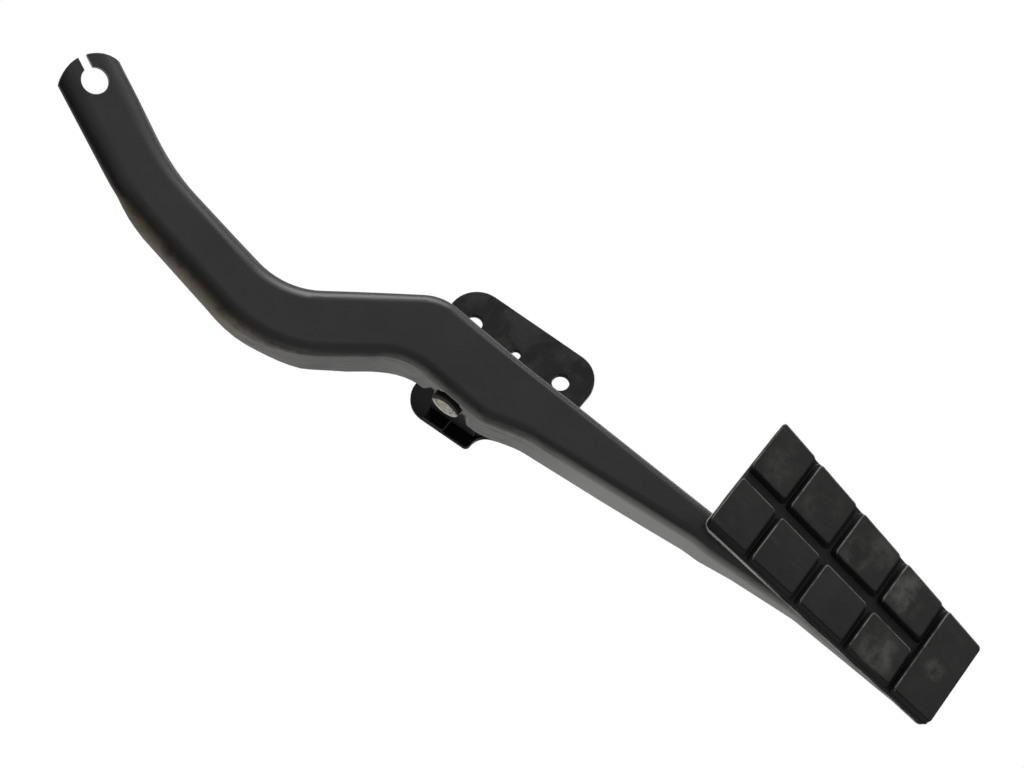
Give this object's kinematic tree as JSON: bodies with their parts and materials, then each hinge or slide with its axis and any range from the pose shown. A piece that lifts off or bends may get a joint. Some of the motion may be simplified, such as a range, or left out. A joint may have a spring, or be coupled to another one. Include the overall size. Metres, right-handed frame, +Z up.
{
  "type": "accelerator pedal",
  "caption": "Pressed-steel accelerator pedal: cranked channel arm with a slotted cable hole, treaded rubber pad and a sprung pivot bracket.",
  "frame": {"origin": "on the mounting face of the bracket plate, straight behind the middle of the pivot", "axes": "X along the pivot, to the driver's right; -Y out of the plate towards the driver; +Z up the arm to its cable end"},
  "size_m": [0.1194, 0.1527, 0.4155],
  "materials": {
    "black_steel": "satin black paint over pressed steel, worn and dusty",
    "gloss_steel": "semi-gloss black paint",
    "zinc": "zinc-plated steel with a dull yellowed film",
    "spring_steel": "oiled spring steel",
    "nylon": "natural nylon",
    "rubber": "matt moulded rubber, dusty"
  },
  "bodies": {
    "bracket": {"base_plate": "gloss_steel", "pivot_saddle": "gloss_steel", "bush_left": "nylon", "bush_right": "nylon", "return_spring": "spring_steel"},
    "arm": {"pedal_arm": "black_steel", "pad_plate": "black_steel", "pad_rubber": "rubber", "pivot_pin": "zinc", "pin_washer": "zinc", "pin_clip": "spring_steel"}
  },
  "joints": [
    {"name": "pedal_pivot", "type": "hinge", "parent": "bracket", "child": "arm", "pos_m": [0, -0.0285, 0], "axis": [1, 0, 0], "range_deg": [0, 16], "stiffness_Nm_per_rad": 1.1, "springref_deg": -45.84, "deforming": ["return_spring"]}
  ]
}
